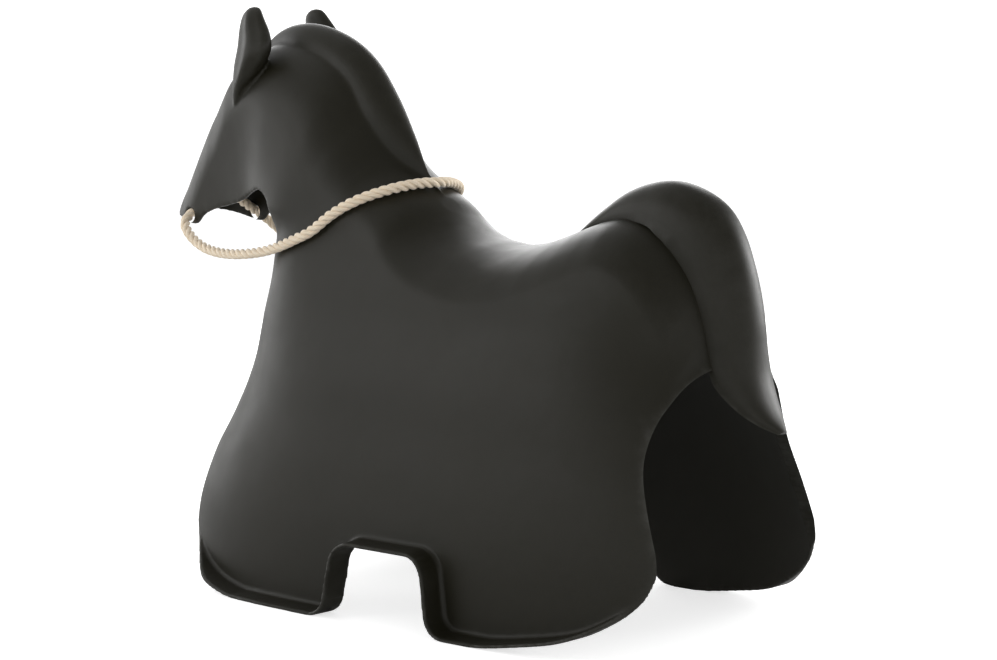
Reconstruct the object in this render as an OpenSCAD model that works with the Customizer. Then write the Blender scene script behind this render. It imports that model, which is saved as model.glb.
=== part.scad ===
// Rocking horse: one hollow moulded shell and a rope rein.
// Millimetres, +Z up. The horse faces -X and its plane of symmetry is Y = 0.
// The origin is on the floor, under the middle of the horse.

/* [Whole horse] */
// Length from the nose to the end of the tail
length = 862; // [800:2:930]
// Height of the tips of the ears
height = 649; // [600:1:700]
// Half of the body's width at the floor, without the foot flange
body_half_width = 178; // [165:1:190]

/* [Shell] */
// Thickness of the moulded wall
wall = 5; // [4:0.5:6]
// Roundness of the body in plan: 2 is an ellipse, and more is boxier
plan_power = 3; // [2.6:0.1:3.4]

/* [Foot flange] */
// How far the flange stands out from the body's side
flange_reach = 28; // [22:1:32]
// Thickness of the flange
flange_thick = 5; // [4:0.5:6]

/* [Side notches] */
// Width of each notch at its top
notch_top_width = 122; // [116:2:136]
// Width of each notch at the floor
notch_floor_width = 150; // [144:2:160]
// Height of each notch
notch_height = 80; // [74:1:88]
// Radius of the notch's top corners
notch_corner = 25; // [18:1:27]

/* [Leg arches] */
// Half of each arch's width between the legs
arch_half_width = 137; // [130:1:140]
// Height at which the arch begins to close
arch_spring = 80; // [70:1:100]
// Height of the front arch
front_arch_top = 245; // [230:5:260]
// Height of the rear arch, behind the tail
rear_arch_top = 281; // [276:1:286]

/* [Rein] */
// Diameter of the rope
rope_d = 12; // [10:0.5:12]
// Diameter of each rein hole in the cheeks
hole_d = 20; // [19:0.5:22]
// Diameter of the knot that joins the rein's ends inside the muzzle
knot_d = 28; // [24:1:30]

/* [Hidden] */

// The tables below are drawn for a horse of this length, half-width and height, and stretch to the sizes
// above.
DRAWN_LENGTH = 862;
DRAWN_HALF_WIDTH = 178;
DRAWN_HEIGHT = 649;
sx = length / DRAWN_LENGTH;
sy = body_half_width / DRAWN_HALF_WIDTH;
sz = height / DRAWN_HEIGHT;

// Every row of a table, each column times its own factor.
function stretched(rows, factors) = [for (row = rows) [for (i = [0:len(factors) - 1]) row[i] * factors[i]]];

// From the middle of the side notches, where x is 0 in the tables, to the origin
notch_x = 60 * sx;

SHELL_COLOUR = [0.21, 0.21, 0.19];
ROPE_COLOUR = [0.90, 0.82, 0.70];

// Ribs of the side view, from the nose to the rear foot. Each row holds the point on the back line, the
// point on the lower line, the head's half-width, how far the body's own width takes over from it (0 to 1),
// the depth over which the back rounds off, and how far the mane stands out (0 to 1).
RIBS = stretched([
    // nose, forehead and poll, over the jaw
    [-492, 405, -488, 392, 44, 0, 26, 0],
    [-488, 430, -478, 384, 51, 0, 40, 0],
    [-474, 456, -460, 381, 54, 0, 48, 0],
    [-452, 495, -432, 380, 55, 0, 52, 0],
    [-423, 540, -396, 379, 57, 0, 54, 0],
    [-390, 587, -362, 378, 59, 0.05, 54, 0.1],
    [-347, 621, -332, 376, 61, 0.2, 54, 0.5],
    [-296, 631, -314, 370, 64, 0.5, 54, 0.9],
    // neck, over the chest
    [-241, 618, -305, 350, 66, 0.8, 54, 1],
    [-197, 591, -304, 315, 70, 1, 54, 1],
    [-163, 549, -310, 270, 70, 1, 54, 1],
    [-133, 502, -331, 208, 70, 1, 54, 0.9],
    [-109, 462, -366, 147, 70, 1, 54, 0.7],
    [-84, 436, -392, 95, 70, 1, 54, 0.45],
    [-64, 418, -384, 45, 70, 1, 55, 0.2],
    [-46, 406, -345, 5, 70, 1, 55, 0],
    // saddle and rump, over the floor
    [-24, 397, -280, -12, 70, 1, 56, 0],
    [0, 392, -200, -15, 70, 1, 56, 0],
    [36, 389, -110, -15, 70, 1, 58, 0],
    [76, 394, -20, -15, 70, 1, 58, 0],
    [110, 404, 50, -15, 70, 1, 58, 0],
    [138, 414, 95, -15, 70, 1, 58, 0],
    [164, 422, 130, -14, 70, 1, 58, 0],
    [190, 427, 158, -10, 70, 1, 56, 0],
    [218, 423, 182, -6, 70, 1, 54, 0],
    [246, 409, 204, -1, 70, 1, 50, 0],
    [270, 386, 226, 5, 70, 1, 44, 0],
    [289, 357, 246, 12, 70, 1, 36, 0],
    [302, 324, 266, 20, 70, 1, 28, 0],
    [311, 292, 286, 30, 70, 1, 20, 0],
    [326, 250, 306, 42, 70, 1, 14, 0],
    [350, 205, 326, 56, 70, 1, 10, 0],
    [376, 160, 346, 72, 70, 1, 8, 0],
    [394, 112, 376, 90, 70, 1, 6, 0],
], [sx, sz, sx, sz, sy, 1, sz, 1]);

// At heights of 0, 50, 100 mm and so on: the body's half-width as a share of that at the floor, the front of
// the chest on the plane of symmetry, the length over which it rounds off, and the rear of the body.
LEVEL = 50 * sz;
WIDTH_SHARE = [1, 0.99, 0.965, 0.92, 0.86, 0.80, 0.71, 0.59, 0.49, 0.45, 0.42, 0.39, 0.35, 0.32];
CHEST_X = sx * [-406, -407, -402, -380, -342, -316, -304, -298, -300, -300];
CHEST_ROUND = sx * [330, 326, 320, 300, 270, 220, 160, 120, 100, 100];
REAR_X = sx * [400, 400, 397, 384, 358, 328, 312, 322, 340, 350, 360, 370, 380, 390];
// Above this height the rounding of the chest fades out, towards the head and upwards.
CHEST_TOP = 384 * sz;
CHEST_FADE_X = sx * [-400, -345];
CHEST_FADE_Z = sz * [388, 425];

// The body's lower rim in side view, from the front foot to the rear foot.
RIM = stretched([
    [-460, 130], [-380, 110], [-354, 72], [-335, 41], [-312, 21], [-275, 7], [-225, 0],
    [135, 0], [180, 6], [240, 18], [280, 34], [304, 52], [318, 74], [332, 110], [460, 140],
], [sx, sz]);
FLANGE_FRONT = sx * [-356, -286]; // over this stretch the flange grows out of the front foot
FLANGE_REAR = sx * [232, 322]; // and over this one it fades into the rear foot

// What is cut away below the jaw, in side view: nose, muzzle's corner, jaw line, throat and the top of the
// neck's front, and then back below them.
JAW = stretched([
    [-530, 420], [-500, 416], [-470, 405], [-438, 397], [-422, 408], [-404, 415], [-370, 422],
    [-346, 428], [-326, 437], [-310, 441], [-296, 436], [-286, 425], [-281, 408], [-280, 386],
], [sx, sz]);
BELOW_JAW = stretched([[-304, 382], [-314, 350], [-530, 350]], [sx, sz]);

// Along the tail's outer line: the point in side view, the half-width and the depth of the tail.
TAIL = stretched([
    [108, 406, 3, 6], [146, 431, 20, 18], [186, 453, 31, 34], [228, 462, 36, 48], [264, 455, 37, 56],
    [294, 438, 37, 62], [313, 412, 37, 62], [325, 382, 37, 60], [333, 352, 38, 58], [338, 322, 38, 53],
    [340, 297, 38, 46], [343, 272, 38, 35], [350, 250, 32, 22], [360, 232, 21, 12], [371, 218, 6, 5],
], [sx, sz, sy, sz]);

// Along an ear from its lower corner to its tip: the point on the ear's middle line, its half-width
// across the side view and its half-thickness.
EAR = stretched([
    [-362, -55, 533, 3, 4], [-354, -58, 549, 12, 10], [-342, -60, 568, 22, 13], [-330, -59, 591, 27, 14],
    [-331, -56, 611, 24, 12], [-337, -53, 630, 17, 10], [-342, -50, 643, 9, 6], [-344, -49, 648, 2, 2],
], [sx, sy, sz, sx, sy]);

// The near half of the rein, from the knot in the muzzle, out of the cheek, under the jaw and up the neck.
// The far half mirrors it, and the two meet on top of the neck.
REIN_DRAWN = [
    [-447, -14, 430], [-446, -30, 425], [-445, -46, 417], [-444, -58, 410], [-439, -67, 401],
    [-428, -72, 389], [-410, -76, 377], [-386, -80, 370], [-354, -85, 367], [-318, -90, 368],
    [-284, -92, 372], [-254, -96, 379], [-226, -98, 388], [-200, -96, 399], [-176, -91, 415],
    [-157, -82, 428], [-139, -71, 436], [-121, -51, 445], [-106, -27, 452],
];
// The rope's centre stays this far out from the skin whatever the horse's width.
REIN_STAND = 6.5;
function beside_skin(p) =
    [p[0] * sx, sign(p[1]) * (REIN_STAND + (abs(p[1]) - REIN_STAND) * sy), p[2] * sz];
REIN_HALF = [for (p = REIN_DRAWN) beside_skin(p)];
REIN_TOP = beside_skin([-93, 0, 457]);
REIN_HOLE = [-445 * sx, 414 * sz];

// The mane: half of its width, the depth over which it rounds off, and where the neck's side starts
MANE_HALF = 27 * sy;
MANE_DEPTH = 32 * sz;
MANE_STEP = 20 * sz;
TAIL_POWER = 2.3;
ARCH_POWER = 2.5;
ARCH_STEPS = 32;
ARCH_START = 180 * sx; // from the middle of the notches to where the arches' tunnels start
EAR_LEAN = 0.35; // rise of an ear's section towards its rear edge

// How finely the shell, the tail, the ears and the rope are drawn
RIB_STEPS = 54;
ACROSS_STEPS = 13;
TAIL_STEPS = 7;
EAR_STEPS = 12;
REIN_SIDES = 12;
THIN = 0.4;
BEYOND = 500; // a reach past the whole horse, for what is cut

function smooth_step(a, b, x) = let (t = min(max((x - a) / (b - a), 0), 1)) t * t * (3 - 2 * t);

// A smooth curve through rows of numbers, at position u counted in rows.
function through(rows, u) =
    let (last = len(rows) - 1, i = min(max(floor(u), 0), last - 1), t = u - i,
         p0 = rows[max(i - 1, 0)], p1 = rows[i], p2 = rows[i + 1], p3 = rows[min(i + 2, last)])
    p1 + (t / 2) * ((p2 - p0) + t * ((2 * p0 - 5 * p1 + 4 * p2 - p3) + t * (3 * p1 - p0 - 3 * p2 + p3)));

// Rises from 0 to 1 as q does, round where it starts.
function round_off(q, power) = pow(max(1 - pow(max(1 - q, 0), power), 0), 1 / power);

function unit(v) = v / norm(v);

function mirrored(p) = [p[0], -p[1], p[2]];

// How far the flange stands out at x.
function flange_at(x) =
    flange_reach * smooth_step(FLANGE_FRONT[0], FLANGE_FRONT[1], x)
    * (1 - smooth_step(FLANGE_REAR[0], FLANGE_REAR[1], x));

// Narrowing of the body towards the chest, and towards the rear.
function front_factor(x, z, inset) =
    let (edge = through(CHEST_X, z / LEVEL) + inset, rounding = through(CHEST_ROUND, z / LEVEL),
         fade = smooth_step(CHEST_FADE_X[0], CHEST_FADE_X[1], x)
            * (1 - smooth_step(CHEST_FADE_Z[0], CHEST_FADE_Z[1], z)),
         here = z < CHEST_TOP ? 1 : fade)
    1 - here * (1 - round_off((x - edge) / rounding, plan_power));
function rear_factor(x, z, inset) =
    let (edge = through(REAR_X, z / LEVEL) - inset)
    x < 0 ? 1 : round_off((edge - x) / edge, plan_power);

// Half of the width at a given depth below the back line: the mane is a narrow ridge on the rounded back.
function back_width(depth, width, rounding, mane, inset) =
    let (ridge = mane * (MANE_HALF - inset) * round_off(depth / MANE_DEPTH, 2),
         side = width * round_off((depth - mane * MANE_STEP) / (rounding * (1 + 0.5 * mane)), 2))
    pow(pow(ridge, 4) + pow(side, 4), 1 / 4);

// The skin's point on rib u at fraction s of the way down, inset from the outer skin.
function rib_point(u, s, inset, grow) =
    let (row = through(RIBS, u), ahead = through(RIBS, u + 0.05), behind = through(RIBS, u - 0.05),
         along = unit([ahead[0] - behind[0], ahead[1] - behind[1]]), inward = [along[1], -along[0]],
         top = [row[0], row[1]] + inset * inward, low = [row[2], row[3]],
         p = top + s * (low - top), depth = (p - top) * inward,
         body = body_half_width * through(WIDTH_SHARE, p[1] / LEVEL),
         width = row[4] + (body - row[4]) * row[5] - inset,
         y = back_width(depth, width, row[6], row[7], inset)
            * front_factor(p[0], p[1], inset) * rear_factor(p[0], p[1], inset))
    [p[0], max(y, THIN) + (grow ? flange_at(p[0]) : 0), p[1]];

// One loop of the skin across the body: up the near side, over the back and down the far side.
function rib_loop(u, inset, grow) =
    let (half = [for (i = [0:ACROSS_STEPS]) rib_point(u, (1 - cos(180 * i / ACROSS_STEPS)) / 2, inset, grow)])
    concat(
        [for (i = [ACROSS_STEPS:-1:1]) [half[i][0], -half[i][1], half[i][2]]],
        [[half[0][0], 0, half[0][2]]],
        [for (i = [1:ACROSS_STEPS]) half[i]]
    );

// A closed solid through a list of loops that all have the same number of points.
module loft(loops) {
    n = len(loops[0]);
    rows = len(loops);
    sides = [for (i = [0:rows - 2], j = [0:n - 1])
        let (a = i * n + j, b = i * n + (j + 1) % n) each [[a, b, b + n], [a, b + n, a + n]]];
    start = [for (j = [n - 1:-1:0]) j];
    end = [for (j = [0:n - 1]) (rows - 1) * n + j];
    polyhedron(points = [for (l = loops) each l], faces = concat(sides, [start], [end]), convexity = 10);
}

module skin(inset = 0, grow = false) {
    last = len(RIBS) - 1;
    loft([for (i = [0:RIB_STEPS]) rib_loop(last * i / RIB_STEPS, inset, grow)]);
}

// A side-view outline made solid across the body.
module across(points) {
    across_shape() polygon(points);
}

// The same for a module's 2-D child.
module across_shape() {
    rotate([90, 0, 0]) linear_extrude(2 * BEYOND, center = true) children();
}

function smooth_line(points, steps) =
    [for (i = [0:steps * (len(points) - 1)]) through(points, i / steps)];

// One loop of the tail: a half-round tongue that is open on its inner side.
function tail_loop(v, inset) =
    let (row = through(TAIL, v), ahead = through(TAIL, v + 0.05), behind = through(TAIL, v - 0.05),
         along = unit([ahead[0] - behind[0], ahead[1] - behind[1]]), inward = [along[1], -along[0]],
         half = max(row[2] - inset, 0.5), deep = row[3] - inset + (inset > 0 ? 12 : 0))
    [for (j = [-TAIL_STEPS:TAIL_STEPS])
        let (angle = 90 * j / TAIL_STEPS, down = inset + deep * (1 - pow(cos(angle), 2 / TAIL_POWER)),
             y = half * sign(j) * pow(abs(sin(angle)), 2 / TAIL_POWER))
        [row[0] + inward[0] * down, y, row[1] + inward[1] * down]];

module tail(inset = 0) {
    last = len(TAIL) - 1;
    loft([for (i = [0:2 * last]) tail_loop(i / 2, inset)]);
}

// An upright leaf on the near side of the head; side is -1 for the near ear and 1 for the far one.
function ear_loop(v, side) =
    let (row = through(EAR, v))
    [for (j = [0:EAR_STEPS - 1])
        let (angle = 360 * j / EAR_STEPS)
        [row[0] + row[3] * cos(angle), -side * row[1] - row[4] * sin(angle),
         row[2] + EAR_LEAN * row[3] * cos(angle)]];

module ear(side) {
    loft([for (i = [0:2 * (len(EAR) - 1)]) ear_loop(i / 2, side)]);
}

// The notch in the bottom edge of each side, in side view.
module notch_outline(extra = 0) {
    offset(r = extra)
        offset(r = -notch_corner)
            offset(r = notch_corner)
                offset(r = notch_corner)
                    offset(delta = -notch_corner)
                        union() {
                            polygon([
                                [-notch_floor_width / 2, 0], [-notch_top_width / 2, notch_height],
                                [notch_top_width / 2, notch_height], [notch_floor_width / 2, 0],
                            ]);
                            translate([-notch_floor_width, -notch_height])
                                square([2 * notch_floor_width, notch_height]);
                        }
}

// Everything below the body's rim, in side view.
module below_rim(raise = 0) {
    line = [for (p = smooth_line(RIM, 4)) [p[0], max(p[1], 0) + raise]];
    polygon(concat([[line[0][0], -BEYOND]], line, [[line[len(line) - 1][0], -BEYOND]]));
}

module flange() {
    intersection() {
        skin(grow = true);
        across_shape()
            difference() {
                union() {
                    below_rim(flange_thick);
                    notch_outline(flange_thick);
                }
                below_rim();
                notch_outline();
                translate([FLANGE_FRONT[0] - BEYOND, -BEYOND]) square([BEYOND, 2 * BEYOND]);
                translate([FLANGE_REAR[1], -BEYOND]) square([BEYOND, 2 * BEYOND]);
            }
    }
}

// The tunnel of a leg arch, from near the middle of the body to beyond its end; way is -1 for the front.
module leg_arch(top, way) {
    rise = top - arch_spring;
    curve = [for (i = [0:ARCH_STEPS])
        let (t = 180 * i / ARCH_STEPS, power = 2 / ARCH_POWER)
        [arch_half_width * sign(cos(t)) * pow(abs(cos(t)), power), arch_spring + rise * pow(sin(t), power)]];
    translate([way * (BEYOND / 2 + ARCH_START), 0, 0])
        rotate([90, 0, 90])
            linear_extrude(BEYOND, center = true)
                polygon(concat([[arch_half_width, -BEYOND]], curve, [[-arch_half_width, -BEYOND]]));
}

module rein_holes() {
    translate([REIN_HOLE[0], 0, REIN_HOLE[1]])
        rotate([90, 0, 0])
            cylinder(d = hole_d, h = BEYOND / 2, center = true);
}

module shell() {
    color(SHELL_COLOUR) translate([notch_x, 0, 0])
        resize([0, 0, 0])
            difference() {
                union() {
                    difference() {
                        union() {
                            skin();
                            flange();
                        }
                        leg_arch(front_arch_top, -1);
                        leg_arch(rear_arch_top, 1);
                    }
                    tail();
                    ear(-1);
                    ear(1);
                }
                skin(inset = wall);
                tail(inset = wall);
                across(concat(smooth_line(JAW, 3), BELOW_JAW));
                across_shape() below_rim();
                across_shape() notch_outline();
                rein_holes();
            }
}

// One ring of the rope round point p, square to the direction along.
function rope_ring(p, along) =
    let (side = unit(cross(along, [0, 0, 1])), up = cross(side, along))
    [for (j = [0:REIN_SIDES - 1])
        let (angle = 360 * j / REIN_SIDES)
        p + rope_d / 2 * (cos(angle) * side + sin(angle) * up)];

module rein() {
    route = concat(REIN_HALF, [REIN_TOP], [for (i = [len(REIN_HALF) - 1:-1:0]) mirrored(REIN_HALF[i])]);
    last = len(route) - 1;
    color(ROPE_COLOUR) translate([notch_x, 0, 0])
        loft([for (i = [0:last])
            rope_ring(route[i], i == 0 ? [0, -1, 0] : i == last ? [0, -1, 0]
                : unit(route[i + 1] - route[i - 1]))]);
}

// A barrel-shaped binding whose flat ends meet the two ends of the rein.
module knot() {
    end = REIN_HALF[0];
    half = -end[1];
    color(ROPE_COLOUR) translate([notch_x + end[0], 0, end[2]]) rotate([90, 0, 0])
        rotate_extrude($fn = 48)
            polygon([
                [0, -half], [rope_d / 2 + 1, -half], [knot_d / 2, -half / 2],
                [knot_d / 2, half / 2], [rope_d / 2 + 1, half], [0, half],
            ]);
}

shell();
rein();
knot();
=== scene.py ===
"""Rocking horse: a hollow moulded shell with a twisted rope rein.

The horse faces -X, stands on z = 0 and is symmetric about y = 0. The tables of the shell's form are in
millimetres, measured from the middle of the side notches, as a pattern maker would note them; meshes are
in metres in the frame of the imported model.
"""

from __future__ import annotations

import logging
import math
from dataclasses import dataclass, field
from enum import Enum

import bmesh
import bpy
import numpy as np
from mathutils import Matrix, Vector
from mathutils.bvhtree import BVHTree

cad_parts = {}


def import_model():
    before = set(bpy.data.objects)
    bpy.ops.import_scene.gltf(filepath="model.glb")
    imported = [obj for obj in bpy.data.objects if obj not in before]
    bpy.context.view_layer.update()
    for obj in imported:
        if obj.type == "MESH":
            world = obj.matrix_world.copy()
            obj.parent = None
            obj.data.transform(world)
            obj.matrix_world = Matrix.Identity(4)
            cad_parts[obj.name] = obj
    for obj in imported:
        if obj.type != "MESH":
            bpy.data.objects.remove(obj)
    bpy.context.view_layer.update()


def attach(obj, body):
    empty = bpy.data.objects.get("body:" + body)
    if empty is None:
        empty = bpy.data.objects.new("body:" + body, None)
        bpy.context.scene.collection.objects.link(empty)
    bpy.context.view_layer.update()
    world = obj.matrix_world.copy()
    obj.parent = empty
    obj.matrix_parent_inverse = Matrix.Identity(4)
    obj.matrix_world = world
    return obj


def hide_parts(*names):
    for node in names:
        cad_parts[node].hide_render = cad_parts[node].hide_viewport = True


LOG = logging.getLogger("rocking_horse")

MM = 0.001
NOTCH_X = 60.0  # where the middle of the side notches lies along the frame's x, in millimetres
OUTSIDE = -500.0  # past the near side of the horse, in millimetres
WELD = 1e-6  # points this close together, in metres, are one

Faces = list[tuple[int, ...]]
Place = tuple[float, float, float]
Span = tuple[float, float]


class Side(Enum):
    """Which side of the horse's plane of symmetry a piece lies on."""

    NEAR = -1
    FAR = 1


class Boolean(Enum):
    """What a solid does to the one it meets."""

    ADD = "UNION"
    CUT = "DIFFERENCE"


# --------------------------------------------------------------------------------------------------------
# Smooth curves through tables


def smooth_step(low: float, high: float, x: np.ndarray) -> np.ndarray:
    """A smooth rise from 0 at low to 1 at high.

    Args:
        low: Where the rise starts.
        high: Where it ends.
        x: The places to read it at.

    Returns:
        The rise at each place.
    """
    t = np.clip((np.asarray(x, float) - low) / (high - low), 0.0, 1.0)
    return t * t * (3.0 - 2.0 * t)


def round_off(q: np.ndarray, power: float) -> np.ndarray:
    """A rise from 0 to 1 as q goes from 0 to 1, round where it starts.

    Args:
        q: Distance along the rise.
        power: 2 for a circle, more for a boxier rise.

    Returns:
        The rise at each distance.
    """
    rest = np.power(np.maximum(1.0 - np.maximum(q, 0.0), 0.0), power)
    return np.power(np.maximum(1.0 - rest, 0.0), 1.0 / power)


class Curve:
    """A smooth curve through the rows of a table, read by row number."""

    nudge = 0.05  # how far ahead and behind, in rows, the curve's direction is read

    def __init__(self, rows: list) -> None:
        """Keeps the rows as an array.

        Args:
            rows: Numbers, or lists of numbers of one length.
        """
        self.rows = np.array(rows, float)
        if self.rows.ndim == 1:
            self.rows = self.rows[:, None]
        self.last = len(self.rows) - 1

    def at(self, u: np.ndarray) -> np.ndarray:
        """Reads the curve.

        Args:
            u: Positions counted in rows.

        Returns:
            One row of numbers for each position.
        """
        u = np.asarray(u, float)
        i = np.clip(np.floor(u).astype(int), 0, self.last - 1)
        t = (u - i)[..., None]
        p0, p1 = self.rows[np.maximum(i - 1, 0)], self.rows[i]
        p2, p3 = self.rows[i + 1], self.rows[np.minimum(i + 2, self.last)]
        bend = (2.0 * p0 - 5.0 * p1 + 4.0 * p2 - p3) + t * (3.0 * p1 - p0 - 3.0 * p2 + p3)
        return p1 + (t / 2.0) * ((p2 - p0) + t * bend)

    def number(self, u: np.ndarray) -> np.ndarray:
        """The first column of the curve at positions u."""
        return self.at(u)[..., 0]

    def drawn(self, steps: int) -> np.ndarray:
        """The curve as points.

        Args:
            steps: Points for each row of the table.

        Returns:
            The points in order, both ends included.
        """
        return self.at(np.linspace(0.0, self.last, steps * self.last + 1))

    def inward(self, u: np.ndarray) -> np.ndarray:
        """Unit vectors square to the curve's first two columns, towards the inside of the horse.

        Args:
            u: Positions counted in rows.

        Returns:
            One vector in the side view for each position.
        """
        ahead, behind = self.at(np.asarray(u) + self.nudge), self.at(np.asarray(u) - self.nudge)
        along = (ahead - behind)[..., :2]
        along /= np.linalg.norm(along, axis=-1, keepdims=True)
        return np.stack([along[..., 1], -along[..., 0]], axis=-1)


def table(*rows: float | list[float]) -> Curve:
    """A dataclass field that holds a curve.

    Args:
        rows: The rows of its table.

    Returns:
        The field.
    """
    return field(default_factory=lambda: Curve(list(rows)))


# --------------------------------------------------------------------------------------------------------
# Meshes


def in_frame(points: np.ndarray) -> np.ndarray:
    """Turns millimetres from the notches' middle into metres in the frame.

    Args:
        points: x, y, z or rows of them.

    Returns:
        The same points in metres, from the frame's origin.
    """
    return (np.asarray(points, float) + [NOTCH_X, 0.0, 0.0]) * MM


def linked(name: str, data: bpy.types.ID) -> bpy.types.Object:
    """Makes an object and links it to the scene.

    Args:
        name: The object's name.
        data: Its mesh, lamp or camera.

    Returns:
        The object.
    """
    made = bpy.data.objects.new(name, data)
    bpy.context.scene.collection.objects.link(made)
    return made


def new_object(name: str, points: np.ndarray, faces: Faces) -> bpy.types.Object:
    """Makes a mesh object from points in millimetres, counted from the notches' middle.

    Args:
        name: The object's name.
        points: Rows of x, y, z.
        faces: Loops of point numbers.

    Returns:
        The object, linked to the scene, with its place in its mesh.
    """
    mesh = bpy.data.meshes.new(name)
    mesh.from_pydata(in_frame(points).tolist(), [], faces)
    mesh.update()
    return linked(name, mesh)


def loft(name: str, loops: np.ndarray) -> bpy.types.Object:
    """Makes a closed solid through loops of points.

    Args:
        name: The object's name.
        loops: An array of loops, points and coordinates, in millimetres.

    Returns:
        The solid, with both ends capped and its faces outwards.
    """
    rows, n = loops.shape[:2]
    faces: Faces = []
    for i in range(rows - 1):
        for j in range(n):
            a, b = i * n + j, i * n + (j + 1) % n
            faces.append((a, b, b + n, a + n))
    points = np.concatenate([loops.reshape(-1, 3), loops[:1].mean(axis=1), loops[-1:].mean(axis=1)])
    first, last = rows * n, rows * n + 1
    for j in range(n):
        faces.append((first, (j + 1) % n, j))
        faces.append((last, (rows - 1) * n + j, (rows - 1) * n + (j + 1) % n))
    made = new_object(name, points, faces)
    tidy_solid(made)
    return made


def prism(name: str, outline: np.ndarray, half_width: float = 300.0) -> bpy.types.Object:
    """Makes a side-view outline solid across the horse.

    Args:
        name: The object's name.
        outline: Rows of x, z in millimetres.
        half_width: How far it reaches to each side, in millimetres.

    Returns:
        The solid.
    """
    n = len(outline)
    near = np.column_stack([outline[:, 0], np.full(n, -half_width), outline[:, 1]])
    far = np.column_stack([outline[:, 0], np.full(n, half_width), outline[:, 1]])
    faces: Faces = [tuple(range(n)), tuple(range(2 * n - 1, n - 1, -1))]
    faces += [(j, (j + 1) % n, n + (j + 1) % n, n + j) for j in range(n)]
    made = new_object(name, np.concatenate([near, far]), faces)
    tidy_solid(made)
    return made


def tidy_solid(made: bpy.types.Object) -> None:
    """Merges doubles, splits faces into triangles and turns them outwards.

    Args:
        made: A closed mesh object.
    """
    work = bmesh.new()
    work.from_mesh(made.data)
    bmesh.ops.remove_doubles(work, verts=work.verts, dist=WELD)
    bmesh.ops.triangulate(work, faces=work.faces)
    bmesh.ops.recalc_face_normals(work, faces=work.faces)
    work.to_mesh(made.data)
    work.free()


def applied(made: bpy.types.Object) -> bpy.types.Object:
    """Turns an object's modifiers into plain mesh.

    Args:
        made: The object.

    Returns:
        The same object with the evaluated mesh and no modifiers.
    """
    bpy.context.view_layer.update()
    depsgraph = bpy.context.evaluated_depsgraph_get()
    mesh = bpy.data.meshes.new_from_object(made.evaluated_get(depsgraph), depsgraph=depsgraph)
    made.modifiers.clear()
    old, made.data = made.data, mesh
    if isinstance(old, bpy.types.Mesh):
        bpy.data.meshes.remove(old)
    return made


def combine(base: bpy.types.Object, other: bpy.types.Object, operation: Boolean) -> bpy.types.Object:
    """Adds or cuts one solid and removes it.

    Args:
        base: The solid that is kept.
        other: The solid that is used up.
        operation: Whether the other solid adds or cuts.

    Returns:
        base with the result.
    """
    step = base.modifiers.new("combine", "BOOLEAN")
    step.operation = operation.value
    step.solver = "MANIFOLD"
    step.object = other
    applied(base)
    discard(other)
    return base


def discard(*used: bpy.types.Object) -> None:
    """Removes helper objects and their meshes."""
    for one in used:
        mesh = one.data
        bpy.data.objects.remove(one)
        if mesh.users == 0:
            bpy.data.meshes.remove(mesh)


def joined(base: bpy.types.Object, others: list[bpy.types.Object]) -> bpy.types.Object:
    """Puts the meshes of other objects into base and removes them.

    Args:
        base: The object that is kept.
        others: The objects that are used up.

    Returns:
        base, which then holds every mesh.
    """
    work = bmesh.new()
    work.from_mesh(base.data)
    for one in others:
        work.from_mesh(one.data)
    work.to_mesh(base.data)
    work.free()
    discard(*others)
    return base


def shade_smooth(made: bpy.types.Object, sharp_from: float = 50.0) -> None:
    """Shades a mesh object smooth, apart from its sharp edges.

    Args:
        made: The object.
        sharp_from: The angle between two faces, in degrees, from which their edge is sharp.
    """
    made.data.polygons.foreach_set("use_smooth", [True] * len(made.data.polygons))
    made.data.set_sharp_from_angle(angle=math.radians(sharp_from))
    made.data.update()


def wear_and_highlight_edges(made: bpy.types.Object, full_at: float, rounds: int = 2) -> None:
    """Stores how sharply each point stands out, from 0 to 1, as the attribute that lightens edges: partly
    wear, partly a painted highlight.

    Args:
        made: A mesh object.
        full_at: Mean rise of the surface away from a point, as a share of the distance, that counts as 1.
        rounds: How often each point takes the mean of its neighbours and itself.
    """
    mesh = made.data
    count = len(mesh.vertices)
    place, normal = np.empty(count * 3), np.empty(count * 3)
    mesh.vertices.foreach_get("co", place)
    mesh.vertices.foreach_get("normal", normal)
    place, normal = place.reshape(-1, 3), normal.reshape(-1, 3)
    edge = np.empty(len(mesh.edges) * 2, int)
    mesh.edges.foreach_get("vertices", edge)
    a, b = edge.reshape(-1, 2).T
    along = place[b] - place[a]
    along /= np.maximum(np.linalg.norm(along, axis=1, keepdims=True), 1e-9)
    total, number = np.zeros(count), np.zeros(count)
    np.add.at(total, a, -(along * normal[a]).sum(axis=1))
    np.add.at(total, b, (along * normal[b]).sum(axis=1))
    np.add.at(number, a, 1.0)
    np.add.at(number, b, 1.0)
    sharp = total / np.maximum(number, 1.0)
    for _ in range(rounds):
        spread, share = sharp.copy(), np.ones(count)
        np.add.at(spread, a, sharp[b])
        np.add.at(spread, b, sharp[a])
        np.add.at(share, a, 1.0)
        np.add.at(share, b, 1.0)
        sharp = spread / share
    layer = mesh.attributes.new("wear_and_highlight", "FLOAT", "POINT")
    layer.data.foreach_set("value", np.clip(sharp / full_at, 0.0, 1.0))


# --------------------------------------------------------------------------------------------------------
# Node trees


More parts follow.
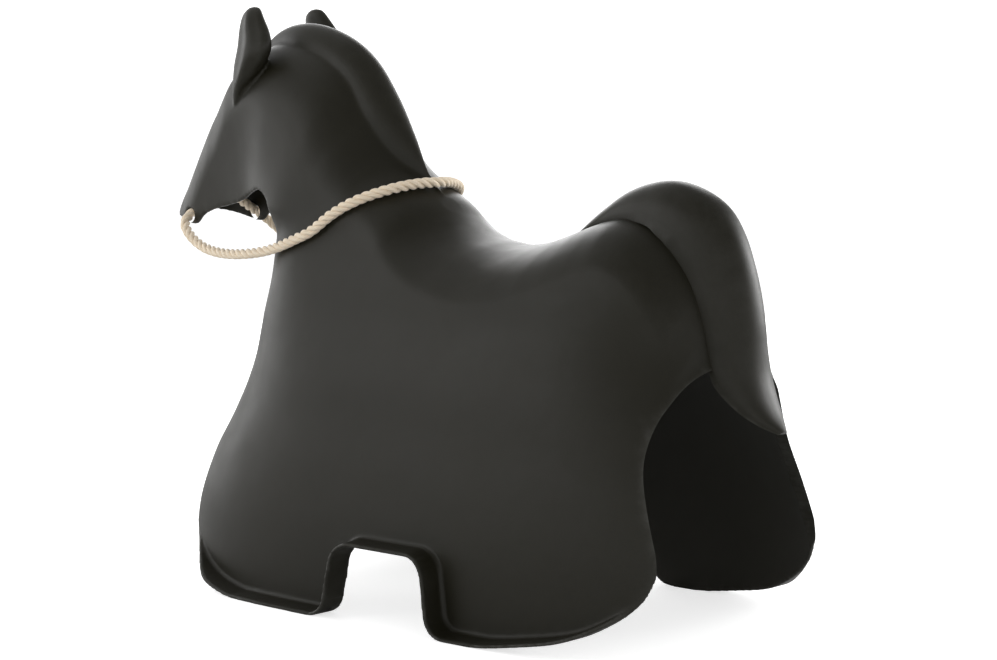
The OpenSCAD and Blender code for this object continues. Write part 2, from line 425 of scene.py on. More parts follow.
class Wiring:
    """Adds nodes to a tree and links them."""

    def __init__(self, tree: bpy.types.NodeTree) -> None:
        """Keeps the tree."""
        self.tree = tree

    def add(self, kind: str, inputs: dict | None = None, **settings: object) -> bpy.types.Node:
        """Adds a node.

        Args:
            kind: The node's type.
            inputs: Values or output sockets for its inputs, by name or number.
            settings: Properties of the node.

        Returns:
            The node.
        """
        node = self.tree.nodes.new(kind)
        for name, value in settings.items():
            setattr(node, name, value)
        for name, value in (inputs or {}).items():
            if isinstance(value, bpy.types.NodeSocket):
                self.tree.links.new(value, node.inputs[name])
            else:
                node.inputs[name].default_value = value
        return node

    def math(self, operation: str, a: object, b: object = 0.0) -> bpy.types.NodeSocket:
        """A Math node's result for two numbers or sockets."""
        return self.add("ShaderNodeMath", {0: a, 1: b}, operation=operation).outputs[0]

    def vector(self, operation: str, a: object, b: object = (0.0, 0.0, 0.0)) -> bpy.types.NodeSocket:
        """A Vector Math node's vector for two vectors or sockets."""
        return self.add("ShaderNodeVectorMath", {0: a, 1: b}, operation=operation).outputs[0]

    def scaled(self, a: object, factor: object) -> bpy.types.NodeSocket:
        """A vector times a number, either of which may be a socket."""
        return self.add("ShaderNodeVectorMath", {0: a, "Scale": factor}, operation="SCALE").outputs[0]

    def weighted(self, first: object, second: object, share: object) -> bpy.types.NodeSocket:
        """The mean of two numbers or sockets, in which the first has the given share."""
        rest = self.math("SUBTRACT", 1.0, share)
        return self.math("ADD", self.math("MULTIPLY", first, share), self.math("MULTIPLY", second, rest))

    def noise(
        self, place: bpy.types.NodeSocket, scale: object, detail: float, roughness: float = 0.5
    ) -> bpy.types.NodeSocket:
        """A Noise Texture's value.

        Args:
            place: Where it is read.
            scale: Its patches in each metre, as a number or a socket.
            detail: How many finer layers it holds.
            roughness: How strong the finer layers are.

        Returns:
            The value's socket.
        """
        inputs = {"Vector": place, "Scale": scale, "Detail": detail, "Roughness": roughness}
        return self.add("ShaderNodeTexNoise", inputs).outputs[0]

    def ranged(self, value: object, given: Span, wanted: Span = (0.0, 1.0)) -> bpy.types.NodeSocket:
        """A number moved from one range to another.

        Args:
            value: The number's socket.
            given: The ends of the range that it comes in.
            wanted: The ends of the range that it is held within.

        Returns:
            The moved number's socket.
        """
        ends = {"From Min": given[0], "From Max": given[1], "To Min": wanted[0], "To Max": wanted[1]}
        return self.add("ShaderNodeMapRange", {"Value": value, **ends}).outputs[0]

    def group(self, shared: bpy.types.NodeTree, inputs: dict) -> bpy.types.NodeSocket:
        """Adds a shared group.

        Args:
            shared: The group.
            inputs: Values or sockets for its inputs.

        Returns:
            The group's only output.
        """
        return self.add("ShaderNodeGroup", inputs, node_tree=shared).outputs[0]

    def link(self, source: bpy.types.NodeSocket, target: bpy.types.NodeSocket) -> None:
        """Links two sockets."""
        self.tree.links.new(source, target)

    def blend(self, factor: bpy.types.NodeSocket, first: object, second: object) -> bpy.types.NodeSocket:
        """A Mix node's colour, from the first to the second as the factor goes from 0 to 1.

        Args:
            factor: The factor's socket.
            first: A colour or a socket.
            second: A colour or a socket.

        Returns:
            The mixed colour.
        """
        node = self.add("ShaderNodeMix", {"Factor": factor}, data_type="RGBA")
        # The node has sockets of the same name for each type of value.
        for given, target in zip((first, second), [one for one in node.inputs if one.type == "RGBA"]):
            if isinstance(given, bpy.types.NodeSocket):
                self.link(given, target)
            else:
                target.default_value = given
        return next(one for one in node.outputs if one.type == "RGBA")


def socket(
    tree: bpy.types.NodeTree, name: str, kind: str, value: object = None, out: bool = False
) -> bpy.types.NodeTreeInterfaceSocket:
    """Adds a named input or output to a group's or a modifier's tree.

    Args:
        tree: The tree.
        name: The socket's name.
        kind: The end of its type's name, such as Float.
        value: Its default.
        out: True for an output.

    Returns:
        The socket of the interface.
    """
    way = "OUTPUT" if out else "INPUT"
    made = tree.interface.new_socket(name, in_out=way, socket_type=f"NodeSocket{kind}")
    if value is not None:
        made.default_value = value
    return made


class SurfaceGroups:
    """The shader groups that the finishes share, each built once."""

    fine_in_broad = 9.0  # fine patches along a broad one
    broad_share = 0.65
    contrast = 4.0

    def __init__(self) -> None:
        """Builds the groups."""
        self.mottle = self._mottle()
        self.grain = self._grain()

    def _mottle(self) -> bpy.types.NodeTree:
        """A group that varies a colour softly over large and small patches.

        Returns:
            The group, with Vector, Colour, Patch Size and Amount in and Colour out.
        """
        tree = bpy.data.node_groups.new("Soft mottle", "ShaderNodeTree")
        socket(tree, "Vector", "Vector")
        socket(tree, "Colour", "Color", (0.5, 0.5, 0.5, 1.0))
        socket(tree, "Patch Size", "Float", 0.05)
        socket(tree, "Amount", "Float", 0.1)
        socket(tree, "Colour", "Color", out=True)
        w = Wiring(tree)
        source = w.add("NodeGroupInput").outputs
        often = w.math("DIVIDE", 1.0, source["Patch Size"])
        broad = w.noise(source["Vector"], often, 3.0)
        fine = w.noise(source["Vector"], w.math("MULTIPLY", often, self.fine_in_broad), 4.0)
        both = w.weighted(broad, fine, self.broad_share)
        swing = w.math("MULTIPLY", w.math("SUBTRACT", both, 0.5), source["Amount"])
        level = w.math("ADD", 1.0, w.math("MULTIPLY", swing, self.contrast))
        w.link(w.scaled(source["Colour"], level), w.add("NodeGroupOutput").inputs["Colour"])
        return tree

    @staticmethod
    def _grain() -> bpy.types.NodeTree:
        """A group that gives a height of fine grain over gentle waviness.

        Returns:
            The group, with Vector, Grain Size, Wave Size and Wave Share in and Height out.
        """
        tree = bpy.data.node_groups.new("Grain and waviness", "ShaderNodeTree")
        socket(tree, "Vector", "Vector")
        socket(tree, "Grain Size", "Float", 0.001)
        socket(tree, "Wave Size", "Float", 0.02)
        socket(tree, "Wave Share", "Float", 0.5)
        socket(tree, "Height", "Float", out=True)
        w = Wiring(tree)
        source = w.add("NodeGroupInput").outputs
        grain = w.noise(source["Vector"], w.math("DIVIDE", 1.0, source["Grain Size"]), 2.0, 0.6)
        wave = w.noise(source["Vector"], w.math("DIVIDE", 1.0, source["Wave Size"]), 1.0)
        height = w.weighted(wave, grain, source["Wave Share"])
        w.link(height, w.add("NodeGroupOutput").inputs["Height"])
        return tree


def new_material(name: str, settings: dict) -> tuple[bpy.types.Material, Wiring, bpy.types.Node]:
    """Makes a material with one shader.

    Args:
        name: The material's name.
        settings: Values for the shader's inputs.

    Returns:
        The material, its wiring and its shader.
    """
    made = bpy.data.materials.new(name)
    made.use_nodes = True
    shader = made.node_tree.nodes["Principled BSDF"]
    for key, value in settings.items():
        shader.inputs[key].default_value = value
    return made, Wiring(made.node_tree), shader


# --------------------------------------------------------------------------------------------------------
# Finishes


@dataclass(frozen=True)
class MouldedPlastic:
    """Matte polyethylene, as it comes out of a rotating mould."""

    colour: tuple[float, float, float, float] = (0.0110, 0.0099, 0.0052, 1.0)
    # convex edges are lightened towards this colour: partly wear, partly a painted highlight along the edges
    wear_and_highlight_colour: tuple[float, float, float, float] = (0.050, 0.049, 0.043, 1.0)
    roughness: float = 0.42
    roughness_swing: float = 0.10
    gloss: float = 0.22
    patch_size: float = 0.09
    patch_amount: float = 0.10
    scuffs: float = 60.0  # in each metre
    scuff_range: Span = (0.35, 0.75)
    scuff_wear: Span = (0.25, 1.0)
    smudges: float = 22.0  # in each metre
    smudge_range: Span = (0.25, 0.75)
    grain_size: float = 0.0011
    wave_size: float = 0.030
    wave_share: float = 0.75
    relief: float = 0.00035

    def material(self, groups: SurfaceGroups) -> bpy.types.Material:
        """Builds the finish, which lightens convex edges by the shell's own edge attribute: partly wear,
        partly a painted highlight.

        Args:
            groups: The shared shader groups.

        Returns:
            The material.
        """
        made, w, shader = new_material("charcoal polyethylene", {"Specular IOR Level": self.gloss})
        place = w.add("ShaderNodeTexCoord").outputs["Object"]
        patches = {"Patch Size": self.patch_size, "Amount": self.patch_amount}
        mottle = w.group(groups.mottle, {"Vector": place, "Colour": self.colour, **patches})
        # Lighter on convex edges, broken up by scuff patches: partly wear, partly a painted highlight along
        # the edges.
        wear_and_highlight = w.add("ShaderNodeAttribute", attribute_name="wear_and_highlight").outputs["Fac"]
        patchy = w.ranged(w.noise(place, self.scuffs, 5.0, 0.7), self.scuff_range, self.scuff_wear)
        colour = w.blend(w.math("MULTIPLY", wear_and_highlight, patchy), mottle, self.wear_and_highlight_colour)
        w.link(colour, shader.inputs["Base Color"])
        swing = self.roughness_swing / 2
        smudge = w.noise(place, self.smudges, 5.0, 0.65)
        rough = w.ranged(smudge, self.smudge_range, (self.roughness - swing, self.roughness + swing))
        w.link(rough, shader.inputs["Roughness"])
        sizes = {"Grain Size": self.grain_size, "Wave Size": self.wave_size, "Wave Share": self.wave_share}
        grain = w.group(groups.grain, {"Vector": place, **sizes})
        bump = w.add("ShaderNodeBump", {"Height": grain, "Distance": self.relief, "Strength": 1.0})
        w.link(bump.outputs[0], shader.inputs["Normal"])
        return made


@dataclass(frozen=True)
class TwistedCord:
    """Soft cream rope whose yarns lie in strands."""

    colour: tuple[float, float, float, float] = (0.90, 0.79, 0.63, 1.0)
    shade: tuple[float, float, float, float] = (0.74, 0.60, 0.43, 1.0)
    roughness: float = 0.85
    sheen: float = 0.35
    sheen_roughness: float = 0.5
    yarn_stretch: Place = (2.6, 2.6, 70.0)
    hair_stretch: Place = (9.0, 9.0, 160.0)
    yarn_share: float = 0.6
    tone_range: Span = (0.35, 0.62)
    patch_size: float = 0.03
    patch_amount: float = 0.05
    fuzz_size: float = 0.0006
    wave_size: float = 0.004
    wave_share: float = 0.3
    fuzz_height: float = 0.35
    relief: float = 0.0005

    def material(self, groups: SurfaceGroups) -> bpy.types.Material:
        """Builds the finish, which reads the strands' own attribute strand.

        Args:
            groups: The shared shader groups.

        Returns:
            The material.
        """
        sheen = {"Sheen Weight": self.sheen, "Sheen Roughness": self.sheen_roughness}
        made, w, shader = new_material("cream rope", {"Roughness": self.roughness, **sheen})
        place = w.add("ShaderNodeTexCoord").outputs["Object"]
        strand = w.add("ShaderNodeAttribute", attribute_name="strand").outputs["Vector"]
        yarn = w.noise(w.vector("MULTIPLY", strand, self.yarn_stretch), 1.6, 2.0)
        hair = w.noise(w.vector("MULTIPLY", strand, self.hair_stretch), 2.0, 4.0, 0.7)
        both = w.weighted(yarn, hair, self.yarn_share)
        mixed = w.blend(w.ranged(both, self.tone_range), self.shade, self.colour)
        patches = {"Patch Size": self.patch_size, "Amount": self.patch_amount}
        mottle = w.group(groups.mottle, {"Vector": place, "Colour": mixed, **patches})
        w.link(mottle, shader.inputs["Base Color"])
        sizes = {"Grain Size": self.fuzz_size, "Wave Size": self.wave_size, "Wave Share": self.wave_share}
        fuzz = w.group(groups.grain, {"Vector": place, **sizes})
        height = w.math("ADD", both, w.math("MULTIPLY", fuzz, self.fuzz_height))
        bump = w.add("ShaderNodeBump", {"Height": height, "Distance": self.relief, "Strength": 0.8})
        w.link(bump.outputs[0], shader.inputs["Normal"])
        return made


# --------------------------------------------------------------------------------------------------------
# The shell


@dataclass
class BodyForm:
    """The rounded body, neck and head, as ribs across the horse."""

    half_width: float = 178.0
    plan_power: float = 3.0
    level: float = 50.0  # the height from one value to the next in the tables that are read by height
    mane_half: float = 27.0
    mane_depth: float = 36.0
    mane_step: float = 29.0
    mane_rounding: float = 0.5  # how much longer the mane makes the rounding
    least_half: float = 0.4  # the half-width that is left where a rib closes
    samples: int = 40  # readings for each row when the ribs are spaced out
    # Above the lowest jaw, the chest's rounding fades out towards the muzzle and up the head.
    muzzle_fade: Span = (-400.0, -345.0)
    head_fade: Span = (388.0, 425.0)
    lowest_jaw: float = 384.0
    # Each rib: the back's point, the lower line's point, the head's half-width, the body's share of the
    # width, the depth of the rounding and how far the mane stands out.
    ribs: Curve = table(
        [-492, 405, -488, 392, 44, 0, 26, 0],
        [-488, 430, -478, 384, 51, 0, 40, 0],
        [-474, 456, -460, 381, 54, 0, 48, 0],
        [-452, 495, -432, 380, 55, 0, 52, 0],
        [-423, 540, -396, 379, 57, 0, 54, 0],
        [-390, 587, -362, 378, 59, 0.05, 54, 0.1],
        [-347, 621, -332, 376, 61, 0.2, 54, 0.5],
        [-296, 631, -314, 370, 64, 0.5, 54, 0.9],
        [-241, 618, -305, 350, 66, 0.8, 54, 1],
        [-197, 591, -304, 315, 70, 1, 54, 1],
        [-163, 549, -310, 270, 70, 1, 54, 1],
        [-133, 502, -331, 208, 70, 1, 54, 0.75],
        [-109, 462, -366, 147, 70, 1, 54, 0.25],
        [-84, 436, -392, 95, 70, 1, 54, 0],
        [-64, 418, -384, 45, 70, 1, 55, 0],
        [-46, 406, -345, 5, 70, 1, 55, 0],
        [-24, 397, -280, -12, 70, 1, 56, 0],
        [0, 392, -200, -15, 70, 1, 56, 0],
        [36, 389, -110, -15, 70, 1, 58, 0],
        [76, 394, -20, -15, 70, 1, 58, 0],
        [110, 404, 50, -15, 70, 1, 58, 0],
        [138, 414, 95, -15, 70, 1, 58, 0],
        [164, 422, 130, -14, 70, 1, 58, 0],
        [190, 427, 158, -10, 70, 1, 56, 0],
        [218, 423, 182, -6, 70, 1, 54, 0],
        [246, 409, 204, -1, 70, 1, 50, 0],
        [270, 386, 226, 5, 70, 1, 44, 0],
        [289, 357, 246, 12, 70, 1, 36, 0],
        [302, 324, 266, 20, 70, 1, 28, 0],
        [311, 292, 286, 30, 70, 1, 20, 0],
        [326, 250, 306, 42, 70, 1, 14, 0],
        [350, 205, 326, 56, 70, 1, 10, 0],
        [376, 160, 346, 72, 70, 1, 8, 0],
        [394, 112, 376, 90, 70, 1, 6, 0],
    )
    # By height, one value a level: the share of the width, the chest's and the rump's place and the length
    # of the chest's rounding.
    width_share: Curve = table(
        1, 0.99, 0.965, 0.92, 0.86, 0.80, 0.71, 0.59, 0.49, 0.45, 0.42, 0.39, 0.35, 0.32
    )
    chest_x: Curve = table(-406, -407, -402, -380, -342, -316, -304, -298, -300, -300)
    chest_round: Curve = table(330, 326, 320, 300, 270, 220, 160, 120, 100, 100)
    rear_x: Curve = table(400, 400, 397, 384, 358, 328, 312, 322, 340, 350, 360, 370, 380, 390)

    def _front(self, x: np.ndarray, z: np.ndarray, inset: float) -> np.ndarray:
        """How far the body narrows towards the chest, from 1 down to 0."""
        edge = self.chest_x.number(z / self.level) + inset
        length = self.chest_round.number(z / self.level)
        fading = smooth_step(*self.muzzle_fade, x) * (1 - smooth_step(*self.head_fade, z))
        here = np.where(z < self.lowest_jaw, 1.0, fading)
        return 1 - here * (1 - round_off((x - edge) / length, self.plan_power))

    def _rear(self, x: np.ndarray, z: np.ndarray, inset: float) -> np.ndarray:
        """How far the body narrows towards the rump, from 1 down to 0."""
        edge = self.rear_x.number(z / self.level) - inset
        return np.where(x < 0, 1.0, round_off((edge - x) / edge, self.plan_power))

    def _positions(self, spacing: float) -> np.ndarray:
        """Where the ribs stand along the table, so that neither end moves on by more than the spacing.

        Args:
            spacing: The most that an end of a rib lies from that of the next, in millimetres.

        Returns:
            Positions counted in rows.
        """
        fine = np.linspace(0.0, self.ribs.last, self.samples * self.ribs.last + 1)
        row = self.ribs.at(fine)
        moves = np.maximum(*(np.linalg.norm(np.diff(row[:, k : k + 2], axis=0), axis=1) for k in (0, 2)))
        travel = np.concatenate([[0.0], np.cumsum(moves)])
        return np.interp(np.linspace(0.0, travel[-1], math.ceil(travel[-1] / spacing) + 1), travel, fine)

    def skin(self, name: str, inset: float, spacing: float, across: int) -> bpy.types.Object:
        """Makes the skin, or one inset from it.

        Args:
            name: The object's name.
            inset: Distance in from the outer skin, in millimetres.
            spacing: The most that the ribs' ends lie apart, in millimetres.
            across: Points down each side of a rib.

        Returns:
            A closed solid.
        """
        u = self._positions(spacing)[:, None]
        s = (1 - np.cos(np.pi * np.arange(across + 1) / across)) / 2
        row, inward = self.ribs.at(u), self.ribs.inward(u)
        top = row[..., 0:2] + inset * inward
        p = top + s[None, :, None] * (row[..., 2:4] - top)
        depth = ((p - top) * inward).sum(axis=-1)
        x, z = p[..., 0], p[..., 1]
        body = self.half_width * self.width_share.number(z / self.level)
        width = row[..., 4] + (body - row[..., 4]) * row[..., 5] - inset
        rounding, mane = row[..., 6], row[..., 7]
        ridge = mane * (self.mane_half - inset) * round_off(depth / self.mane_depth, 2)
        reach = rounding * (1 + self.mane_rounding * mane)
        flank = width * round_off((depth - mane * self.mane_step) / reach, 2)
        y = np.cbrt(ridge**3 + flank**3) * self._front(x, z, inset) * self._rear(x, z, inset)
        y = np.maximum(y, self.least_half)
        y[:, 0] = 0.0
        near = np.stack([x, -y, z], axis=-1)[:, :0:-1]
        spine = np.stack([x, y, z], axis=-1)[:, :1]
        far = np.stack([x, y, z], axis=-1)[:, 1:]
        return loft(name, np.concatenate([near, spine, far], axis=1))


@dataclass
class TailForm:
    """The tail: a half-round tongue that springs from the saddle and hangs over the rear arch."""

    power: float = 2.3
    across: int = 41
    least_half: float = 0.5
    deeper: float = 12.0  # added to the depth of the tail's hollow, so that it opens into the body's
    # Along the outer line: the point in side view, the half-width and the depth.
    line: Curve = table(
        [108, 406, 3, 6],
        [146, 431, 20, 18],
        [186, 453, 31, 34],
        [228, 462, 36, 48],
        [264, 455, 37, 56],
        [294, 438, 37, 62],
        [313, 412, 37, 62],
        [325, 382, 37, 60],
        [333, 352, 38, 58],
        [338, 322, 38, 53],
        [340, 297, 38, 46],
        [343, 272, 38, 35],
        [350, 250, 32, 22],
        [360, 232, 21, 12],
        [371, 218, 6, 5],
    )

    def solid(self, name: str, inset: float, steps: int) -> bpy.types.Object:
        """Makes the tongue, or one inset from it.

        Args:
            name: The object's name.
            inset: Distance in from the outer face, in millimetres.
            steps: Loops for each row of the table.

        Returns:
            A closed solid.
        """
        v = np.linspace(0.0, self.line.last, steps * self.line.last + 1)[:, None]
        row, inward = self.line.at(v), self.line.inward(v)
        angle = np.radians(np.linspace(-90.0, 90.0, self.across))[None, :]
        half = np.maximum(row[..., 2] - inset, self.least_half)
        deep = row[..., 3] - inset + (self.deeper if inset > 0 else 0.0)
        down = inset + deep * (1 - np.power(np.maximum(np.cos(angle), 0.0), 2 / self.power))
        y = half * np.sign(angle) * np.power(np.abs(np.sin(angle)), 2 / self.power)
        x = row[..., 0] + inward[..., 0] * down
        z = row[..., 1] + inward[..., 1] * down
        return loft(name, np.stack([x, y, z], axis=-1))


@dataclass
class EarForm:
    """An upright cupped leaf with soft folds, on the side of the head."""

    lean: float = 0.35
    fold: float = 1.2
    fold_grows: Span = (0.5, 3.0)  # rows of the table
    fold_fades: Span = (4.6, 6.8)
    fold_waves: float = 1.875
    fold_shift: float = 0.3
    steps: int = 8
    around: int = 64
    # Along the ear: the point on its middle line, its half-width and its half-thickness.
    line: Curve = table(
        [-362, -55, 533, 3, 4],
        [-352, -58, 549, 9, 9],
        [-339, -60, 568, 19, 13],
        [-330, -59, 591, 27, 14],
        [-331, -56, 611, 24, 12],
        [-337, -53, 630, 18, 10],
        [-341, -50, 643, 13, 7],
        [-343, -49, 648, 5, 3],
    )

    def solid(self, side: Side) -> bpy.types.Object:
        """Makes one ear.

        Args:
            side: The side of the head.

        Returns:
            A closed solid that reaches into the head.
        """
        v = np.linspace(0.0, self.line.last, self.steps * self.line.last + 1)[:, None]
        row = self.line.at(v)
        angle = np.radians(np.linspace(0.0, 360.0, self.around, endpoint=False))[None, :]
        across = np.cos(angle)
        rise = smooth_step(*self.fold_grows, v) * (1 - smooth_step(*self.fold_fades, v))
        waves = np.sin((across * self.fold_waves + self.fold_shift) * math.pi)
        folds = self.fold * rise * waves * np.maximum(np.sin(angle), 0.0)
        x = row[..., 0] + row[..., 3] * across
        y = side.value * (-row[..., 1] + row[..., 4] * np.sin(angle) + folds)
        z = row[..., 2] + self.lean * row[..., 3] * across
        return loft(f"ear {side.name}", np.stack([x, y, z], axis=-1))


@dataclass
class Rim:
    """The shell's lower edge: foot curves, side notches and the flange that follows them."""

    notch_top: float = 122.0
    notch_floor: float = 150.0
    notch_height: float = 80.0
    corner: float = 25.0
    corner_steps: int = 12
    run_out: float = 60.0  # the straight that the notch's lower corners turn into
    clear: float = 1.0  # kept between the notch's ends and the next points of the rim
    below: float = -80.0  # the floor of the solid that cuts the rim
    # The flange: its reach, its lip's thickness, the round at its root and its upper face's slope.
    reach: float = 28.0
    thick: float = 3.6
    root: float = 3.5
    slope: float = 1.5
    bite: float = 4.0  # how far it is rooted in the wall
    path_step: float = 3.0
    lip_points: int = 9
    root_points: int = 7
    line_steps: int = 16
    front: Span = (-350.0, -268.0)  # over this stretch it grows
    rear: Span = (232.0, 306.0)  # and over this one it fades
    line: Curve = table(
        [-460, 130],
        [-380, 110],
        [-354, 72],
        [-335, 46],
        [-312, 27],
        [-275, 10],
        [-225, 0],
        [-175, 0],
        [90, 0],
        [135, 0],
        [180, 6],
        [240, 18],
        [280, 38],
        [304, 59],
        [316, 83],
        [332, 118],
        [460, 140],
    )

    def _notch(self) -> np.ndarray:
        """The notch's edge in side view, from its front foot to its rear one, with round corners."""
        half_floor, half_top = self.notch_floor / 2, self.notch_top / 2
        bends = [
            (-half_floor - self.run_out, 0),
            (-half_floor, 0),
            (-half_top, self.notch_height),
            (half_top, self.notch_height),
            (half_floor, 0),
            (half_floor + self.run_out, 0),
        ]
        points = []
        for before, here, after in zip(bends, bends[1:], bends[2:]):
            a, b = Vector(before) - Vector(here), Vector(after) - Vector(here)
            a.normalize()
            b.normalize()
            opening = a.angle(b)
            middle = Vector(here) + (a + b).normalized() * (self.corner / math.sin(opening / 2))
            start = Vector(here) + a * (self.corner / math.tan(opening / 2)) - middle
            end = Vector(here) + b * (self.corner / math.tan(opening / 2)) - middle
            for k in range(self.corner_steps + 1):
                t = k / self.corner_steps
                points.append(tuple(middle + start.slerp(end, t).normalized() * self.corner))
        return np.array(points)

    def _edge(self, start: float = -math.inf, end: float = math.inf) -> np.ndarray:
        """The rim in side view, with the notch in it.

        Args:
            start: Where along x it starts.
            end: Where it ends.

        Returns:
            Rows of x, z from front to rear.
        """
        floor, notch = self.line.drawn(self.line_steps), self._notch()
        floor[:, 1] = np.maximum(floor[:, 1], 0.0)
        x = floor[:, 0]
        left = floor[(x < notch[0, 0] - self.clear) & (x > start)]
        right = floor[(x > notch[-1, 0] + self.clear) & (x < end)]
        return np.concatenate([left, notch, right])

    def opening(self) -> bpy.types.Object:
        """Makes the solid of everything below the rim, notches included."""
        edge = self._edge()
        bottom = [[edge[-1, 0], self.below], [edge[0, 0], self.below]]
        return prism("below rim", np.concatenate([edge, bottom]))

    def _path(self) -> np.ndarray:
        """Evenly spaced points along the flanged part of the rim, in side view."""
        points = self._edge(self.front[0], self.rear[1])
        length = np.concatenate([[0], np.cumsum(np.linalg.norm(np.diff(points, axis=0), axis=1))])
        even = np.linspace(0.0, length[-1], int(length[-1] / self.path_step) + 1)
        return np.column_stack([np.interp(even, length, points[:, k]) for k in range(2)])

    def _section(self) -> np.ndarray:
        """The flange's section: how far out, as a share of its reach, and how far up from the rim."""
        lip, top = self.thick / 2, self.thick + self.slope
        free = [
            (1 - lip / self.reach * (1 - math.cos(t)), lip + lip * math.sin(t))
            for t in np.radians(np.linspace(-90, 90, self.lip_points))
        ]
        hollow = [
            (self.root / self.reach * (1 - math.sin(t)), top + self.root * (1 - math.cos(t)))
            for t in np.radians(np.linspace(0, 90, self.root_points))
        ]
        inner = -self.bite / self.reach
        return np.array([(inner, 0.0), *free, *hollow, (inner, top + self.root)])

    def flange(self, side: Side, surface: BVHTree) -> bpy.types.Object:
        """Sweeps the flange along the rim of one side.

        Args:
            side: The side of the horse.
            surface: The outer skin.

        Returns:
            A closed solid that is rooted in the wall.
        """
        path, section = self._path(), self._section()
        along = np.gradient(path, axis=0)
        along /= np.linalg.norm(along, axis=1, keepdims=True)
        up = np.column_stack([-along[:, 1], along[:, 0]])
        grow = smooth_step(*self.front, path[:, 0]) * (1 - smooth_step(*self.rear, path[:, 0]))
        loops, last_y = [], self.reach
        for p, n, g in zip(path, up, grow):
            loop = []
            for out, high in section:
                x, z = p + n * high
                start = Vector(in_frame((x, OUTSIDE, z)))
                hit = surface.ray_cast(start, Vector((0, 1, 0)))[0]
                last_y = -hit.y / MM if hit else last_y
                stand = out * self.reach * (g if out > 0 else 1.0)
                loop.append((x, side.value * (last_y + stand), z))
            loops.append(loop)
        return loft(f"flange {side.name}", np.array(loops))


@dataclass
class Openings:
    """What is cut out of the shell: the leg arches, the throat and the rein holes."""

    half_width: float = 135.5
    spring: float = 80.0
    front_top: float = 245.0
    rear_top: float = 281.0
    front_reach: Span = (-460.0, -180.0)
    rear_reach: Span = (180.0, 460.0)
    power: float = 2.5
    across: int = 97
    below: float = -60.0
    hole_d: float = 17.0
    hole: tuple[float, float] = (-447.0, 407.0)
    hole_points: int = 64
    cheeks: float = 80.0  # half the length of the pin that bores the holes
    jaw_steps: int = 12
    # The throat's outline: the jaw's lower edge, and the points that close it down the neck's front.
    neck: tuple[tuple[float, float], ...] = ((-304.0, 382.0), (-314.0, 350.0), (-530.0, 350.0))
    jaw: Curve = table(
        [-530, 420],
        [-500, 416],
        [-470, 405],
        [-438, 397],
        [-422, 408],
        [-404, 415],
        [-370, 422],
        [-346, 428],
        [-326, 437],
        [-310, 441],
        [-296, 436],
        [-286, 425],
        [-281, 408],
        [-280, 386],
    )

    def _arch(self, name: str, top: float, reach: Span) -> bpy.types.Object:
        """Makes the solid of one leg arch.

        Args:
            name: The solid's name.
            top: Height of the arch.
            reach: Where the cut starts and ends along x.

        Returns:
            The solid.
        """
        t = np.radians(np.linspace(0, 180, self.across))
        y = self.half_width * np.sign(np.cos(t)) * np.power(np.abs(np.cos(t)), 2 / self.power)
        z = self.spring + (top - self.spring) * np.power(np.sin(t), 2 / self.power)
        y = np.concatenate([[self.half_width], y, [-self.half_width]])
        z = np.concatenate([[self.below], z, [self.below]])
        return loft(name, np.array([np.column_stack([np.full(len(y), x), y, z]) for x in reach]))

    def arches(self) -> list[bpy.types.Object]:
        """Makes the solids of the front and the rear arch, in that order."""
        front = self._arch("front arch", self.front_top, self.front_reach)
        return [front, self._arch("rear arch", self.rear_top, self.rear_reach)]

    def throat(self) -> bpy.types.Object:
        """Makes the solid below the jaw, up to the front of the neck."""
        return prism("throat", np.concatenate([self.jaw.drawn(self.jaw_steps), self.neck]))

    def rein_holes(self) -> bpy.types.Object:
        """Makes the pin that bores both cheeks."""
        t = np.radians(np.linspace(0, 360, self.hole_points, endpoint=False))
        circle = np.column_stack([np.cos(t), np.sin(t)]) * self.hole_d / 2
        return prism("rein holes", self.hole + circle, self.cheeks)


